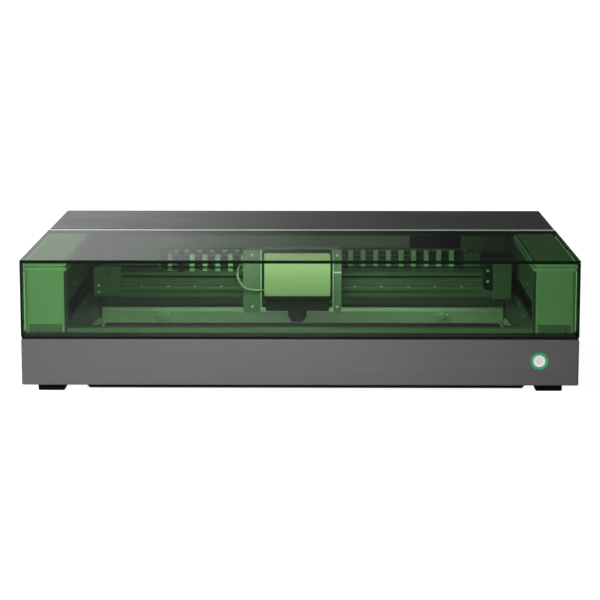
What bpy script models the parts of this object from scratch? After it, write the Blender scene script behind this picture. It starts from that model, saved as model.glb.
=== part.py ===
"""Enclosed desktop laser cutter, modelled piece by piece.

Lengths are written in millimetres and turned into metres by the helpers.
X runs to the right, Y to the back, Z up. The origin is the centre of the
object's footprint, on the surface that it stands on. "depth" is the distance
behind the front face of the housing, so Y = depth + FRONT.
"""

import math

import bmesh
import bpy
from mathutils import Matrix, Vector

# Overall size
WIDTH = 765.0
BODY_DEPTH = 561.0
COLLAR_REACH = 14.0
HEIGHT = 185.0
FRONT = -(BODY_DEPTH + COLLAR_REACH) / 2
HALF = WIDTH / 2
GAP = 0.3

# Base housing
FOOT_TOP = 11.4
BASE_BOTTOM = 11.7
BASE_FLOOR = 13.7
BASE_TOP = 76.0
SIDE_WALL = 2.5
FRONT_WALL = 2.5
CHAMBER_HALF = 320.0
CHAMBER_FRONT = 20.0
CHAMBER_BACK = 476.0
PARTITION = 2.0
REAR_BAY_BACK = 558.5

# Lid and rear cover
LID_BOTTOM = 78.8
LID_DEPTH = 326.9
SHEET = 3.5
TRIM_FRONT = 313.0
TRIM_BOTTOM = 177.0
COVER_FRONT = 332.0
COVER_WALL = 2.0
HINGE_DEPTH = 329.3
HINGE_Z = 182.0
HINGE_RADIUS = 2.0
HINGE_X = 282.0
KNUCKLE = 16.0
KNUCKLE_SPAN = 40.0

# Side housings and Y drive
HOUSING_IN = 320.0
HOUSING_OUT = 377.0
HOUSING_TOP = 176.0
HOUSING_WALL = 2.5
CROWN_TOP = 181.0
CROWN_BACK = 310.0
DRIVE_Z = 110.0
PULLEY_R = 6.2
BELT_IN_R = 6.5
BELT_OUT_R = 7.7
FLANGE_R = 8.3
IDLER_DEPTH = 26.0
SHAFT_DEPTH = 450.0
BELT_Y_X = (366.0, 372.0)

# Gantry
BEAM_HALF = 311.7
BEAM_DEPTH = (292.0, 330.0)
BEAM_Z = (87.0, 122.0)
BELT_X_Z = 126.0
BELT_X_DEPTH = (286.0, 291.4)
PULLEY_X = 291.0
MOTOR_SIDE = 42.0

# Drag chain, lying on its side in a horizontal loop
CHAIN_PITCH = 19.2
CHAIN_WIDE = 18.0
CHAIN_Z = (124.6, 152.6)
CHAIN_FRONT = 303.0
CHAIN_REAR = 353.0
CHAIN_BEND_X = -185.0
CHAIN_MOVING_END = -78.0
CHAIN_FIXED_END = 245.7

# Laser head
HEAD_LEFT = -86.0
HEAD_RIGHT = 59.5
MODULE_X = (-55.7, 44.0)
MODULE_DEPTH = (240.0, 274.0)
MODULE_Z = (92.0, 162.0)
LENS_X = -6.0
LENS_DEPTH = 258.0
SCREW_AT = (-71.0, 260.0)
ROD_AT = (51.5, 262.0)

# Fittings
BUTTON_AT = (328.4, 45.9)
THUMB_X = (-219.6, 220.9)
THUMB_Z = 31.0
FAN_AT = (210.0, 131.0)
DUCT_HALF = 41.0
DUCT_SKIN = 4.0
INLET_X = -286.0
SWITCH_X = -244.0
SOCKET_Z = 46.0

# Shades of the materials: colour, roughness, metallic
GREY_PAINT = ((0.16, 0.16, 0.165), 0.5, 0.0)
DARK_PAINT = ((0.03, 0.03, 0.032), 0.5, 0.0)
HOUSING_GREY = ((0.55, 0.56, 0.55), 0.45, 0.0)
LINER_GREY = ((0.2, 0.21, 0.2), 0.5, 0.1)
BRIGHT_SHEET = ((0.7, 0.72, 0.7), 0.35, 0.2)
ACRYLIC = ((0.05, 0.22, 0.06), 0.05, 0.0)
PALE_TRIM = ((0.45, 0.52, 0.44), 0.4, 0.0)
RUBBER = ((0.012, 0.012, 0.012), 0.8, 0.0)
BLACK_PLASTIC = ((0.02, 0.02, 0.02), 0.45, 0.0)
WHITE_PLASTIC = ((0.8, 0.8, 0.78), 0.4, 0.0)
STEEL = ((0.55, 0.56, 0.58), 0.25, 1.0)
ALUMINIUM = ((0.6, 0.61, 0.62), 0.35, 1.0)
BLACK_ANODISED = ((0.03, 0.03, 0.035), 0.35, 0.6)
GREEN_RING = ((0.1, 0.6, 0.25), 0.35, 0.0)
LIGHT_BAR = ((0.95, 0.97, 1.0), 0.3, 0.0)
BOARD_GREEN = ((0.02, 0.12, 0.04), 0.5, 0.0)

TURNS = {
    "X": Matrix.Rotation(math.pi / 2, 4, "Z") @ Matrix.Rotation(math.pi / 2, 4, "X"),
    "Y": Matrix.Rotation(math.pi / 2, 4, "X"),
    "Z": Matrix.Identity(4),
}


def clear_scene():
    for obj in list(bpy.data.objects):
        bpy.data.objects.remove(obj)


def new_collection(name):
    made = bpy.data.collections.new(name)
    bpy.context.scene.collection.children.link(made)
    return made


clear_scene()
PARTS = new_collection("laser_cutter")
CUTTERS = new_collection("cutters")


def point(x, depth, z):
    """Millimetres, with depth counted from the front face, as a point in metres."""
    return Vector((x, depth + FRONT, z)) / 1000


def mirrored(pair, side):
    """A range of X on the right-hand side, or its mirror image where side is -1."""
    return tuple(sorted(side * value for value in pair))


def paint(obj, shade):
    colour, roughness, metallic = shade
    made = bpy.data.materials.new(obj.name)
    made.use_nodes = True
    shader = made.node_tree.nodes["Principled BSDF"]
    shader.inputs["Base Color"].default_value = (*colour, 1.0)
    shader.inputs["Roughness"].default_value = roughness
    shader.inputs["Metallic"].default_value = metallic
    obj.data.materials.clear()
    obj.data.materials.append(made)


def add_object(name, mesh, at, shade):
    obj = bpy.data.objects.new(name, mesh)
    obj.location = at
    if shade is None:
        CUTTERS.objects.link(obj)
        obj.hide_render = True
        obj.display_type = "WIRE"
    else:
        PARTS.objects.link(obj)
        paint(obj, shade)
    return obj


def box(name, x, depth, z, shade=None, pivot=None):
    """A block from three ranges. With no shade it is a helper that cuts or joins."""
    low, high = point(x[0], depth[0], z[0]), point(x[1], depth[1], z[1])
    middle = (low + high) / 2
    at = middle if pivot is None else point(*pivot)
    size = high - low
    bm = bmesh.new()
    bmesh.ops.create_cube(bm, size=1.0)
    bmesh.ops.scale(bm, vec=size, verts=bm.verts)
    bmesh.ops.translate(bm, vec=middle - at, verts=bm.verts)
    mesh = bpy.data.meshes.new(name)
    bm.to_mesh(mesh)
    bm.free()
    return add_object(name, mesh, at, shade)


def rod(name, axis, centre, radius, length, shade=None, segments=32):
    """A cylinder along axis, whose middle is at centre."""
    bm = bmesh.new()
    bmesh.ops.create_cone(
        bm,
        cap_ends=True,
        segments=segments,
        radius1=radius / 1000,
        radius2=radius / 1000,
        depth=length / 1000,
        matrix=TURNS[axis],
    )
    mesh = bpy.data.meshes.new(name)
    bm.to_mesh(mesh)
    bm.free()
    smooth(mesh)
    return add_object(name, mesh, point(*centre), shade)


def smooth(mesh):
    mesh.shade_smooth()
    mesh.set_sharp_from_angle(angle=math.radians(35))


def turned(name, axis, at, profile, shade=None, steps=32, closed=False):
    """A profile of (radius, place along the axis), top to bottom, turned about the axis."""
    mesh = bpy.data.meshes.new(name)
    bm = bmesh.new()
    verts = [bm.verts.new((r / 1000, 0, h / 1000)) for r, h in profile]
    for first, second in zip(verts, verts[1:]):
        bm.edges.new((first, second))
    if closed:
        bm.edges.new((verts[-1], verts[0]))
    bm.to_mesh(mesh)
    bm.free()
    obj = add_object(name, mesh, point(*at), shade)
    obj.rotation_euler = {
        "X": (0, math.pi / 2, 0),
        "Y": (-math.pi / 2, 0, 0),
        "Z": (0, 0, 0),
    }[axis]
    screw = obj.modifiers.new("turn", "SCREW")
    screw.axis = "Z"
    screw.steps = steps
    screw.render_steps = steps
    screw.use_merge_vertices = True
    screw.merge_threshold = 0.00001
    screw.use_smooth_shade = False
    return obj


def extruded(name, axis, span, outlines, shade=None):
    """Flat outlines, the first the outside and the rest holes, pushed along an axis."""
    curve = bpy.data.curves.new(name, "CURVE")
    curve.dimensions = "2D"
    curve.fill_mode = "BOTH"
    curve.extrude = (span[1] - span[0]) / 2000
    for outline in outlines:
        spline = curve.splines.new("POLY")
        spline.points.add(len(outline) - 1)
        spline.use_cyclic_u = True
        for corner, (a, b) in zip(spline.points, outline):
            corner.co = (a / 1000, b / 1000, 0, 1)
    middle = (span[0] + span[1]) / 2
    place = {
        "X": Vector((middle, FRONT, 0)),
        "Y": Vector((0, middle + FRONT, 0)),
        "Z": Vector((0, FRONT, middle)),
    }[axis]
    guide = bpy.data.objects.new(name + "_outline", curve)
    CUTTERS.objects.link(guide)
    bpy.context.view_layer.update()
    graph = bpy.context.evaluated_depsgraph_get()
    mesh = bpy.data.meshes.new_from_object(guide.evaluated_get(graph))
    bpy.data.objects.remove(guide)
    bm = bmesh.new()
    bm.from_mesh(mesh)
    bmesh.ops.remove_doubles(bm, verts=bm.verts, dist=0.000005)
    bmesh.ops.transform(bm, matrix=TURNS[axis], verts=bm.verts)
    bmesh.ops.dissolve_limit(bm, angle_limit=0.001, verts=bm.verts, edges=bm.edges)
    bmesh.ops.recalc_face_normals(bm, faces=bm.faces)
    bm.to_mesh(mesh)
    bm.free()
    mesh.name = name
    return add_object(name, mesh, place / 1000, shade)


def boolean(obj, helper, operation):
    change = obj.modifiers.new(helper.name, "BOOLEAN")
    change.operation = operation
    change.solver = "EXACT"
    change.object = helper
    return obj


def cut(obj, *helpers):
    for helper in helpers:
        boolean(obj, helper, "DIFFERENCE")
    return obj


def join(obj, *helpers):
    for helper in helpers:
        boolean(obj, helper, "UNION")
    return obj


def bevel(obj, width, segments=2):
    change = obj.modifiers.new("edges", "BEVEL")
    change.width = width / 1000
    change.segments = segments
    change.limit_method = "ANGLE"
    return obj


def rectangle(a, b):
    return [(a[0], b[0]), (a[1], b[0]), (a[1], b[1]), (a[0], b[1])]


def stadium(ends, middle, radius, steps=12):
    """A loop round two equal circles on one line, as (along, across) points."""
    turn = [math.pi * i / steps for i in range(steps + 1)]
    far = [
        (ends[1] + radius * math.sin(t), middle - radius * math.cos(t)) for t in turn
    ]
    near = [
        (ends[0] - radius * math.sin(t), middle + radius * math.cos(t)) for t in turn
    ]
    return far + near


def side_name(side):
    return "left" if side < 0 else "right"


def hang(name, at, *objects):
    """An empty on a joint's axis, which carries the pieces that turn about it."""
    empty = bpy.data.objects.new(name, None)
    empty.location = point(*at)
    PARTS.objects.link(empty)
    for obj in objects:
        obj.parent = empty
        obj.matrix_parent_inverse = Matrix.Translation(-empty.location)


# ---------------------------------------------------------------- base housing


def base_shell():
    shell = box(
        "base_shell",
        (-HALF, HALF),
        (0, BODY_DEPTH),
        (BASE_BOTTOM, BASE_TOP),
        GREY_PAINT,
    )
    bevel(shell, 2.0)
    inner = HALF - SIDE_WALL
    depth_range = (BASE_FLOOR, BASE_TOP + 5)
    cut(
        shell,
        box(
            "cut_chamber",
            (-CHAMBER_HALF, CHAMBER_HALF),
            (CHAMBER_FRONT, CHAMBER_BACK),
            depth_range,
        ),
        box(
            "cut_front_channel",
            (-inner, inner),
            (FRONT_WALL, CHAMBER_FRONT - PARTITION),
            depth_range,
        ),
        box(
            "cut_rear_bay",
            (-inner, inner),
            (CHAMBER_BACK + PARTITION, REAR_BAY_BACK),
            depth_range,
        ),
    )
    for side in (-1, 1):
        pocket = mirrored((CHAMBER_HALF + PARTITION, inner), side)
        cut(
            shell,
            box(
                "cut_pocket_" + side_name(side),
                pocket,
                (CHAMBER_FRONT, CHAMBER_BACK),
                depth_range,
            ),
        )
    back = (REAR_BAY_BACK - 1, BODY_DEPTH + 1)
    cut(
        shell,
        rod("cut_button", "Y", (BUTTON_AT[0], 2, BUTTON_AT[1]), 12.3, 8, segments=36),
        box("cut_inlet", (INLET_X - 14, INLET_X + 14), back, (36, 56)),
        box("cut_switch", (SWITCH_X - 9.6, SWITCH_X + 9.6), back, (35, 57)),
    )


def bottom_tray():
    skin, slope, low = 1.5, 4.0, 6.6
    left, right = -294.0, 310.0
    outline = [
        (left, FOOT_TOP),
        (left + slope, low),
        (right - slope, low),
        (right, FOOT_TOP),
        (right - skin, FOOT_TOP),
        (right - slope - skin, low + skin),
        (left + slope + skin, low + skin),
        (left + skin, FOOT_TOP),
    ]
    extruded("bottom_tray", "Y", (8, 553), [outline], DARK_PAINT)


def feet():
    """Rubber blocks with rounded edges."""
    half_wide, half_deep = 18.5, 17.5
    for end, depth in (("front", 37.5), ("rear", 520.0)):
        for side in (-1, 1):
            middle = side * 344
            foot = box(
                f"foot_{end}_{side_name(side)}",
                (middle - half_wide, middle + half_wide),
                (depth - half_deep, depth + half_deep),
                (0, FOOT_TOP),
                RUBBER,
            )
            bevel(foot, 2.0)


def lid_seal():
    outside = rectangle((-381.5, 381.5), (1, 560))
    inside = rectangle((-378.6, 378.6), (3.9, 557.1))
    span = (BASE_TOP + GAP, LID_BOTTOM - GAP)
    extruded("lid_seal", "Z", span, [outside, inside], RUBBER)


def front_sill():
    front, back, top, skin = 5.3, 19.7, 90.0, 2.0
    low = BASE_TOP + GAP
    outline = [
        (front, low),
        (front, top),
        (back, top),
        (back, low),
        (back - skin, low),
        (back - skin, top - skin),
        (front + skin, top - skin),
        (front + skin, low),
    ]
    extruded("front_sill", "X", (-319.5, 319.5), [outline], LINER_GREY)


def work_bed():
    """A floor panel with raised slats across it."""
    low, skin, rib_top, rib, pitch = BASE_FLOOR + GAP, 1.6, 20.0, 4.0, 32.0
    outline = [(22, low), (22, low + skin)]
    start = 38.0
    while start + rib < 455:
        outline += [
            (start, low + skin),
            (start, rib_top),
            (start + rib, rib_top),
            (start + rib, low + skin),
        ]
        start += pitch
    outline += [(471, low + skin), (471, low)]
    extruded("work_bed", "X", (-318, 318), [outline], BLACK_ANODISED)


def on_fan_axis(name, half, depth):
    """A square block on the fan's axis."""
    x, z = FAN_AT
    return box(name, (x - half, x + half), depth, (z - half, z + half))


def chamber_wall():
    """The liner at the back of the chamber, with a folded ledge and an air outlet."""
    back, front, ledge = CHAMBER_BACK - GAP, CHAMBER_BACK - 3.3, CHAMBER_BACK - 8.3
    outline = [
        (back, BASE_FLOOR + GAP),
        (front, BASE_FLOOR + GAP),
        (front, 47),
        (ledge, 47),
        (ledge, 52),
        (front, 52),
        (front, 181),
        (back, 181),
    ]
    wall = extruded("chamber_wall", "X", (-319.5, 319.5), [outline], LINER_GREY)
    cut(wall, on_fan_axis("cut_outlet", DUCT_HALF, (466, 480)))


def rear_baffle():
    low, top, skin = 18.0, 41.5, 2.0
    front, back, shoulder = 460.0, 472.4, 36.5
    outline = [
        (front, low),
        (front, shoulder),
        (front + 5, top),
        (back, top),
        (back, top - skin),
        (front + 6, top - skin),
        (front + skin, shoulder - 0.8),
        (front + skin, low),
    ]
    baffle = extruded("rear_baffle", "X", (-318, 318), [outline], BRIGHT_SHEET)
    for side, x in zip((-1, 1), THUMB_X):
        hole = rod("cut_thumb_" + side_name(side), "Y", (x, 461, THUMB_Z), 2.3, 6)
        cut(baffle, hole)


def thumb_screws():
    for side, x in zip((-1, 1), THUMB_X):
        name = "thumb_screw_" + side_name(side)
        head = turned(
            name,
            "Y",
            (x, 0, THUMB_Z),
            [(0, 470), (2, 470), (2, 459.6), (6, 459.6), (6.5, 459), (6.5, 454), (0, 453)],
            STEEL,
            steps=24,
        )
        ears = box(name + "_ears", (x - 10, x + 10), (454.5, 457.5), (THUMB_Z - 2, THUMB_Z + 2))
        join(head, ears)


# ------------------------------------------------------------------ rear cover


def rear_cover():
    cover = box(
        "rear_cover",
        (-HALF, HALF),
        (COVER_FRONT, BODY_DEPTH),
        (LID_BOTTOM, HEIGHT),
        GREY_PAINT,
    )
    bevel(cover, 2.0)
    inner = HALF - COVER_WALL
    roof, back, lip = HEIGHT - COVER_WALL, BODY_DEPTH - COVER_WALL, 176.6
    hollow = [
        (COVER_FRONT - 5, LID_BOTTOM - 5),
        (COVER_FRONT - 5, lip),
        (COVER_FRONT + COVER_WALL, lip),
        (COVER_FRONT + COVER_WALL, roof),
        (back, roof),
        (back, LID_BOTTOM - 5),
    ]
    cut(
        cover,
        extruded("cut_cover", "X", (-inner, inner), [hollow]),
        rod("cut_exhaust", "Y", (FAN_AT[0], 560, FAN_AT[1]), 46, 12, segments=36),
    )
    for side in (-1, 1):
        name = side_name(side)
        middle = side * HINGE_X
        knuckle = (middle - KNUCKLE / 2, middle + KNUCKLE / 2)
        barrel = (middle, HINGE_DEPTH, HINGE_Z)
        join(
            cover,
            box("leaf_" + name, knuckle, (330.2, COVER_FRONT + 1.5), (177.5, HINGE_Z)),
            rod("knuckle_" + name, "X", barrel, HINGE_RADIUS, KNUCKLE, segments=16),
        )


def exhaust_collar():
    outer, inner, flange = 45.5, 42.5, 50.0
    profile = [
        (outer, BODY_DEPTH + COLLAR_REACH),
        (outer, BODY_DEPTH + 2.5),
        (flange, BODY_DEPTH + 2.5),
        (flange, BODY_DEPTH + GAP),
        (outer, BODY_DEPTH + GAP),
        (outer, 545.3),
        (inner, 545.3),
        (inner, BODY_DEPTH + COLLAR_REACH),
    ]
    place = (FAN_AT[0], 0, FAN_AT[1])
    turned("exhaust_collar", "Y", place, profile, BLACK_PLASTIC, 36, closed=True)


def exhaust_fan():
    x, z = FAN_AT
    frame = box("fan_frame", (x - 46, x + 46), (519, 544.7), (z - 46, z + 46), BLACK_PLASTIC)
    cut(frame, rod("cut_fan_bore", "Y", (x, 532, z), 43.5, 40, segments=36))
    stay_depth = (541.5, 544.7)
    duct = on_fan_axis("fan_duct", DUCT_HALF + DUCT_SKIN, (480.3, 519.6))
    cut(duct, on_fan_axis("cut_duct", DUCT_HALF, (475, 525)))
    join(
        frame,
        box("fan_stay_across", (x - 45, x + 45), stay_depth, (z - 1.5, z + 1.5)),
        box("fan_stay_up", (x - 1.5, x + 1.5), stay_depth, (z - 45, z + 45)),
        rod("fan_boss", "Y", (x, 543.2, z), 16, 3.0),
        duct,
    )
    rotor = rod("fan_rotor", "Y", (x, 530.5, z), 17, 20, BLACK_PLASTIC)
    blades = 7
    for i in range(blades):
        blade = box(
            f"fan_blade_{i}",
            (x - 42.5, x - 14),
            (529.7, 531.5),
            (z - 9, z + 9),
            pivot=(x, 530.5, z),
        )
        blade.matrix_world = (
            Matrix.Translation(blade.location)
            @ Matrix.Rotation(2 * math.pi * i / blades, 4, "Y")
            @ Matrix.Rotation(math.radians(32), 4, "X")
        )
        join(rotor, blade)


def power_inlet():
    x, z = INLET_X, SOCKET_Z
    socket = box("power_inlet", (x - 13.6, x + 13.6), (538, 561.9), (36.4, 55.6), BLACK_PLASTIC)
    join(socket, box("inlet_flange", (x - 20, x + 20), (561.3, 563.3), (33, 59)))
    cut(socket, box("cut_inlet_recess", (x - 11, x + 11), (545, 570), (z - 7.5, z + 7.5)))
    for i in (-1, 0, 1):
        pin = box(f"inlet_pin_{i + 1}", (x + 6 * i - 1, x + 6 * i + 1), (543, 558), (z - 2, z + 2))
        join(socket, pin)


def power_switch():
    x, z = SWITCH_X, SOCKET_Z
    bezel = box("switch_bezel", (x - 9.3, x + 9.3), (548, 561.9), (35.3, 56.7), BLACK_PLASTIC)
    join(bezel, box("switch_flange", (x - 13, x + 13), (561.3, 563.3), (32, 60)))
    cut(bezel, box("cut_switch_well", (x - 7, x + 7), (553, 570), (z - 8, z + 8)))
    outline = [(556, 38.8), (565, 38.8), (563.3, 46), (565, 53.2), (556, 53.2)]
    rocker = extruded("power_rocker", "X", (x - 6.6, x + 6.6), [outline], BLACK_PLASTIC)
    hang("rocker_axis", (x, 560, z), rocker)


def electronics():
    low = BASE_FLOOR + GAP
    supply = box("power_supply", (-350, -140), (484, 534), (low, 66), ALUMINIUM)
    cut(supply, box("cut_terminals", (-160, -130), (483, 536), (45, 70)))
    board = box("control_board", (-90, 90), (486, 550), (24, 25.6), BOARD_GREEN)
    corners = [(x, d) for x in (-84, 84) for d in (491, 545)]
    for i, (x, d) in enumerate(corners):
        post = box(f"board_post_{i}", (x - 3, x + 3), (d - 3, d + 3), (low, 24.4))
        join(board, post)
    for i in range(5):
        x = -60 + 30 * i
        join(board, box(f"driver_{i}", (x - 8, x + 8), (500, 516), (25.2, 36)))
    join(board, box("board_terminals", (-70, 70), (534, 546), (25.2, 35)))


def led_strip():
    strip = box("led_strip", (-250, 250), (336, 346), (177, 181.5), LIGHT_BAR)
    bevel(strip, 1.0, 1)


def power_button():
    x, z = BUTTON_AT
    ring = [(12, 6.5), (12, 0.7), (11.5, 0.2), (9.8, 0.2), (9.4, 0.8), (9.4, 6.5)]
    turned("button_ring", "Y", (x, 0, z), ring, GREEN_RING, 36, closed=True)
    cap = [(0, 12), (3, 12), (3, 4.5), (9.1, 4.5), (9.1, 0.9), (8.6, 0.5), (0, 0.5)]
    turned("power_button", "Y", (x, 0, z), cap, WHITE_PLASTIC, 36)


# ------------------------------------------------------------------------- lid


def lid_panels():
    between = (LID_BOTTOM, HEIGHT - SHEET - GAP)
    top = box("lid_top", (-HALF, HALF), (0, TRIM_FRONT - GAP), (HEIGHT - SHEET, HEIGHT), ACRYLIC)
    bevel(top, 0.6, 1)
    inner = HALF - SHEET - GAP
    front = box("lid_front", (-inner, inner), (0, SHEET), between, ACRYLIC)
    bevel(front, 0.5, 1)
    panels = [top, front]
    for side in (-1, 1):
        span = mirrored((HALF - SHEET, HALF), side)
        panel = box("lid_" + side_name(side), span, (0, LID_DEPTH), between, ACRYLIC)
        bevel(panel, 0.5, 1)
        panels.append(panel)
    return panels


def lid_trim():
    """The strip that closes the lid at the back, with the moving hinge knuckles."""
    trim = box(
        "lid_trim",
        (-HALF, HALF),
        (TRIM_FRONT, LID_DEPTH),
        (HEIGHT - SHEET, HEIGHT),
        PALE_TRIM,
    )
    inner = HALF - SHEET - 0.5
    rib = (TRIM_BOTTOM, HEIGHT - SHEET + 0.5)
    join(trim, box("trim_rib", (-inner, inner), (TRIM_FRONT + 1, LID_DEPTH - 0.5), rib))
    for middle in (-HINGE_X, HINGE_X):
        for end in (-1, 1):
            near = middle + end * (KNUCKLE / 2 + GAP)
            far = middle + end * KNUCKLE_SPAN / 2
            span = tuple(sorted((near, far)))
            barrel = ((near + far) / 2, HINGE_DEPTH, HINGE_Z)
            label = f"{round(barrel[0])}"
            join(
                trim,
                box("web_" + label, span, (LID_DEPTH - 2, 328.2), (178, HINGE_Z)),
                rod("barrel_" + label, "X", barrel, HINGE_RADIUS, span[1] - span[0], segments=16),
            )
    return trim


# --------------------------------------------------- side housings and Y drive


def side_housing(side):
    """A hood over the Y rail, open below and behind, with a slot for the gantry's arm.

    Its crown is higher under the lid than under the rear cover.
    """
    name = side_name(side)
    low, front, back, over = 79.6, 6.0, 475.0, 8.0
    shell = box(
        "side_housing_" + name,
        mirrored((HOUSING_IN, HOUSING_OUT), side),
        (front, back + over),
        (low - over, HOUSING_TOP),
        HOUSING_GREY,
    )
    bevel(shell, 4.0, 2)
    inner = (HOUSING_IN + HOUSING_WALL, HOUSING_OUT - HOUSING_WALL)
    wide = mirrored((HOUSING_IN - 5, HOUSING_OUT + 5), side)
    slot = mirrored((HOUSING_IN - 3, HOUSING_IN + 5), side)
    notch = mirrored((326, 371), side)
    cut(
        shell,
        box(
            "cut_hood_" + name,
            mirrored(inner, side),
            (front + HOUSING_WALL, back + 2 * over),
            (low - 2 * over, HOUSING_TOP - HOUSING_WALL),
        ),
        box("cut_below_" + name, wide, (front - 5, back + 3 * over), (low - 3 * over, low)),
        box("cut_behind_" + name, wide, (back, back + 3 * over), (low - 3, HOUSING_TOP + 5)),
        box("cut_slot_" + name, slot, (24, 470), (96.5, 123.5)),
        box("cut_notch_" + name, notch, (front - 4, front + 6), (low - 2, 95.5)),
    )
    crown = box(
        "crown_" + name,
        mirrored((HOUSING_IN + 0.4, HOUSING_OUT - 0.4), side),
        (front + 0.4, CROWN_BACK),
        (HOUSING_TOP - 1.5, CROWN_TOP),
    )
    bevel(crown, 1.0, 1)
    join(shell, crown)


def sensor_plate(side):
    """The plate under a housing's front, with the lid sensor set back in its window."""
    name = side_name(side)
    plate = box(
        "sensor_plate_" + name,
        mirrored((326.4, 370.6), side),
        (6.6, 8.6),
        (79.8, 95.0),
        LINER_GREY,
    )
    cut(plate, box("cut_window_" + name, mirrored((338, 351), side), (4, 12), (83, 90.5)))
    join(plate, box("sensor_" + name, mirrored((337, 352), side), (7.6, 16), (82, 91.5)))


def rail_y(side):
    """A folded bed plate, the guide rail on it, and the end blocks that hold the axles."""
    name = side_name(side)
    low = BASE_TOP + GAP
    half = [
        (321, low),
        (378, low),
        (378, low + 3),
        (358, low + 3),
        (358, 92),
        (354, 92),
        (354, 99),
        (342, 99),
        (342, 92),
        (338, 92),
        (338, low + 3),
        (321, low + 3),
    ]
    outline = [(side * x, z) for x, z in half]
    rail = extruded("rail_y_" + name, "Y", (5.3, 475.7), [outline], ALUMINIUM)
    cut(rail, box("cut_rail_front_" + name, mirrored((330, 365), side), (4, 17), (low + 3.2, 105)))
    for depth, radius in ((IDLER_DEPTH, 2.8), (SHAFT_DEPTH, 4.3)):
        label = f"{name}_{depth:.0f}"
        span = (depth - 13, depth + 13)
        block = box("block_" + label, mirrored((341, 363.8), side), span, (98, 121))
        join(rail, block)
        hole = (side * 353, depth, DRIVE_Z)
        cut(rail, rod("cut_axle_" + label, "X", hole, radius, 30, segments=24))


def carriage(side):
    name = side_name(side)
    block = box(
        "carriage_" + name,
        mirrored((332, 364), side),
        (268, 328),
        (93, 124),
        BLACK_ANODISED,
    )
    join(
        block,
        box("arm_" + name, mirrored((312, 334), side), (293, 329), (98, 121)),
        box("belt_tab_" + name, mirrored((363, 372), side), (285, 311), (118.1, 121)),
    )
    cut(
        block,
        box("cut_guide_" + name, mirrored((341.7, 354.3), side), (260, 335), (90, 99.3)),
    )


def pulley_profile(low, high):
    """Two flanges and the drum between them, without the axle."""
    return [
        (FLANGE_R, high),
        (FLANGE_R, high - 1.2),
        (PULLEY_R, high - 1.2),
        (PULLEY_R, low + 1.2),
        (FLANGE_R, low + 1.2),
        (FLANGE_R, low),
    ]


def belt_y(side):
    ends = (IDLER_DEPTH, SHAFT_DEPTH)
    loops = [stadium(ends, DRIVE_Z, r) for r in (BELT_OUT_R, BELT_IN_R)]
    span = mirrored(BELT_Y_X, side)
    extruded("belt_y_" + side_name(side), "X", span, loops, RUBBER)


def idler_y(side):
    """A toothless pulley on its own axle."""
    low, high = 364.4, 373.6
    profile = [(0, high), *pulley_profile(low, high), (2.5, low), (2.5, 346), (0, 346)]
    place = (0, IDLER_DEPTH, DRIVE_Z)
    pulley = turned("idler_y_" + side_name(side), "X", place, profile, STEEL, steps=20)
    pulley.rotation_euler = (0, side * math.pi / 2, 0)


def shaft_y():
    """The cross shaft, with a belt pulley at each end, through the double-ended motor."""
    low, high = 364.4, 373.6
    right = [(0, high), *pulley_profile(low, high), (4, low)]
    left = [(r, -a) for r, a in reversed(right)]
    place = (0, SHAFT_DEPTH, DRIVE_Z)
    turned("shaft_y", "X", place, right + left, STEEL, steps=20)


def motor_y():
    half = MOTOR_SIDE / 2
    body = box(
        "motor_y",
        (276, 317),
        (SHAFT_DEPTH - half, SHAFT_DEPTH + half),
        (DRIVE_Z - half, DRIVE_Z + half),
        BLACK_ANODISED,
    )
    bevel(body, 2.0, 1)
    cut(body, rod("cut_motor", "X", (296, SHAFT_DEPTH, DRIVE_Z), 4.4, 60, segments=24))


# ---------------------------------------------------------------------- gantry


def gantry_beam():
    """The hollow cross beam, with a plate at each end that holds the X belt's pulleys."""
    beam = box("gantry_beam", (-BEAM_HALF, BEAM_HALF), BEAM_DEPTH, BEAM_Z, BLACK_ANODISED)
    skin = 3.0
    hollow = box(
        "cut_beam",
        (-BEAM_HALF - 5, BEAM_HALF + 5),
        (BEAM_DEPTH[0] + skin, BEAM_DEPTH[1] - skin),
        (BEAM_Z[0] + skin, BEAM_Z[1] - skin),
    )
    cut(beam, hollow)
    for side, top in ((-1, 134.5), (1, 148.0)):
        name = side_name(side)
        foot = BEAM_DEPTH[0] + 1
        join(
            beam,
            box("foot_" + name, mirrored((301, 311), side), (282.5, foot), (91, 114)),
            box("plate_" + name, mirrored((270, 311.4), side), (282, 284), (90, top)),
        )
        place = (side * PULLEY_X, 283, BELT_X_Z)
        cut(beam, rod("cut_pulley_" + name, "Y", place, 2.8, 8, segments=24))


def rail_x():
    outline = [
        (291.7, 98),
        (291.7, 110),
        (286, 110),
        (286, 106.5),
        (287.2, 104),
        (286, 101.5),
        (286, 98),
    ]
    extruded("rail_x", "X", (-300, 300), [outline], STEEL)


def belt_x():
    ends = (-PULLEY_X, PULLEY_X)
    loops = [stadium(ends, BELT_X_Z, r) for r in (BELT_OUT_R, BELT_IN_R)]
    span = BELT_X_DEPTH
    extruded("belt_x", "Y", span, loops, RUBBER)


def motor_x():
    half = MOTOR_SIDE / 2
    body = box(
        "motor_x",
        (PULLEY_X - half, PULLEY_X + half),
        (248, 281.7),
        (BELT_X_Z - half, BELT_X_Z + half),
        BLACK_ANODISED,
    )
    bevel(body, 2.5, 1)
    low, high = 284.9, 291.7
    drum = [
        (7.6, high),
        (7.6, high - 0.2),
        (PULLEY_R, high - 0.2),
        (PULLEY_R, low + 0.8),
        (7.6, low + 0.8),
        (7.6, low),
    ]
    profile = [(0, high), *drum, (2.5, low), (2.5, 282), (0, 282)]
    turned("motor_x_pulley", "Y", (PULLEY_X, 0, BELT_X_Z), profile, STEEL, steps=20)
    profile = [(0, high), *drum, (2.5, low), (2.5, 282.3), (0, 282.3)]
    turned("idler_x", "Y", (-PULLEY_X, 0, BELT_X_Z), profile, STEEL, steps=20)


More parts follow.
